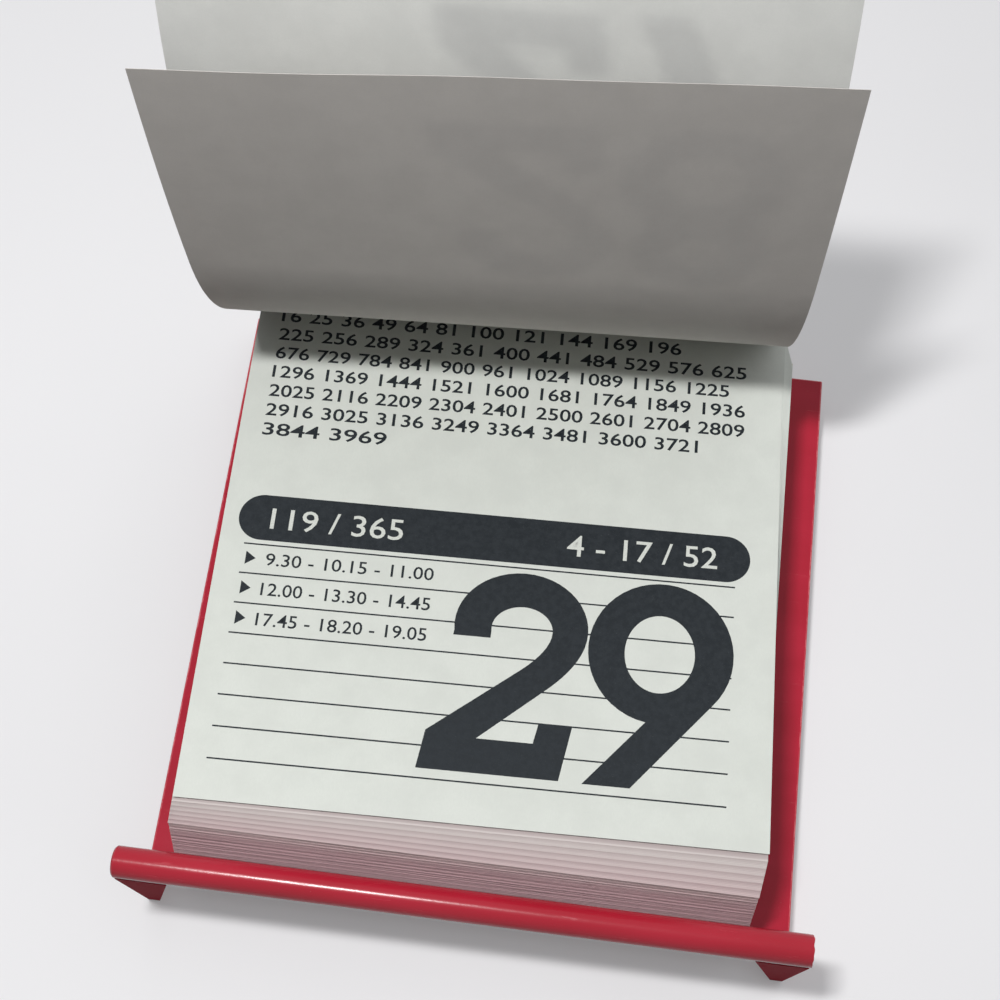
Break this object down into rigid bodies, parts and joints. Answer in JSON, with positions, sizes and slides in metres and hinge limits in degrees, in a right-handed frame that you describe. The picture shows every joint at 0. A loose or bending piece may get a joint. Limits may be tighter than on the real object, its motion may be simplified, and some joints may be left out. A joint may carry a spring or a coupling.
{
  "type": "page-a-day desk calendar",
  "caption": "Desk calendar lying on its back: a glued pad of day leaves on an L-shaped red plastic stand with a round front bar and a folding easel leg; used leaves stand turned back.",
  "frame": {"origin": "on the table, under the middle of the calendar's box as it lies on its back", "axes": "+X across the page to the reader's right, +Y up the page to the glued edge, +Z out of the page"},
  "size_m": [0.132, 0.1404, 0.136],
  "materials": {
    "red_plastic": "moulded gloss",
    "pin_steel": "drawn wire",
    "foam_tape": "foam",
    "grey_card": "uncoated",
    "pad_glue": "dried film",
    "bound_paper": "cut edges",
    "day_leaf": "uncoated, printed"
  },
  "bodies": {
    "stand": {"back_plate": "red_plastic", "left_bracket": "red_plastic", "right_bracket": "red_plastic", "front_bar": "red_plastic", "leg_hinge_pin": "pin_steel", "pad_tape": "foam_tape", "backing_card": "grey_card", "spine_glue": "pad_glue", "pages_december": "bound_paper", "pages_november": "bound_paper", "pages_october": "bound_paper", "pages_september": "bound_paper", "pages_august": "bound_paper", "pages_july": "bound_paper", "pages_june": "bound_paper", "pages_may": "bound_paper"},
    "easel_leg": {"easel_leg": "red_plastic"},
    "leaf_next_5": {"leaf_next_5": "day_leaf"},
    "leaf_next_4": {"leaf_next_4": "day_leaf"},
    "leaf_next_3": {"leaf_next_3": "day_leaf"},
    "leaf_next_2": {"leaf_next_2": "day_leaf"},
    "leaf_next_1": {"leaf_next_1": "day_leaf"},
    "leaf_today": {"leaf_today": "day_leaf"},
    "leaf_previous": {"leaf_previous": "day_leaf"},
    "leaf_before": {"leaf_before": "day_leaf"}
  },
  "joints": [
    {"name": "leg_swing", "type": "hinge", "parent": "stand", "child": "easel_leg", "pos_m": [0, 0.03777, 0.002], "axis": [1, 0, 0], "range_deg": [0, 35]},
    {"name": "leaf_today_turn", "type": "hinge", "parent": "stand", "child": "leaf_today", "pos_m": [-0.00366, 0.06194, 0.02638], "axis": [-0.9996, -0.029, 0], "range_deg": [0, 115]},
    {"name": "leaf_previous_turn", "type": "hinge", "parent": "stand", "child": "leaf_previous", "pos_m": [-0.00367, 0.06254, 0.02668], "axis": [-0.9996, -0.029, 0], "range_deg": [0, 92]},
    {"name": "leaf_before_turn", "type": "hinge", "parent": "stand", "child": "leaf_before", "pos_m": [-0.00369, 0.06314, 0.02698], "axis": [-0.9996, -0.029, 0], "range_deg": [0, 96.6]},
    {"name": "leaf_next_1_lift", "type": "hinge", "parent": "stand", "child": "leaf_next_1", "pos_m": [-0.00325, 0.06095, 0.02625], "axis": [-0.9997, -0.0241, 0], "range_deg": [0, 11.5]},
    {"name": "leaf_next_2_lift", "type": "hinge", "parent": "stand", "child": "leaf_next_2", "pos_m": [-0.00284, 0.05996, 0.02612], "axis": [-0.9998, -0.0193, 0], "range_deg": [0, 9.2]},
    {"name": "leaf_next_3_lift", "type": "hinge", "parent": "stand", "child": "leaf_next_3", "pos_m": [-0.00243, 0.05896, 0.02599], "axis": [-0.9999, -0.0145, 0], "range_deg": [0, 6.9]},
    {"name": "leaf_next_4_lift", "type": "hinge", "parent": "stand", "child": "leaf_next_4", "pos_m": [-0.00202, 0.05797, 0.02586], "axis": [-1, -0.0097, 0], "range_deg": [0, 4.6]},
    {"name": "leaf_next_5_lift", "type": "hinge", "parent": "stand", "child": "leaf_next_5", "pos_m": [-0.00161, 0.05697, 0.02573], "axis": [-1, -0.0048, 0], "range_deg": [0, 2.3]}
  ],
  "couplings": [
    {"joint": "leaf_previous_turn", "follows": "leaf_today_turn", "ratio": 0.8},
    {"joint": "leaf_before_turn", "follows": "leaf_today_turn", "ratio": 0.84},
    {"joint": "leaf_next_1_lift", "follows": "leaf_today_turn", "ratio": 0.1},
    {"joint": "leaf_next_2_lift", "follows": "leaf_today_turn", "ratio": 0.08},
    {"joint": "leaf_next_3_lift", "follows": "leaf_today_turn", "ratio": 0.06},
    {"joint": "leaf_next_4_lift", "follows": "leaf_today_turn", "ratio": 0.04},
    {"joint": "leaf_next_5_lift", "follows": "leaf_today_turn", "ratio": 0.02}
  ]
}
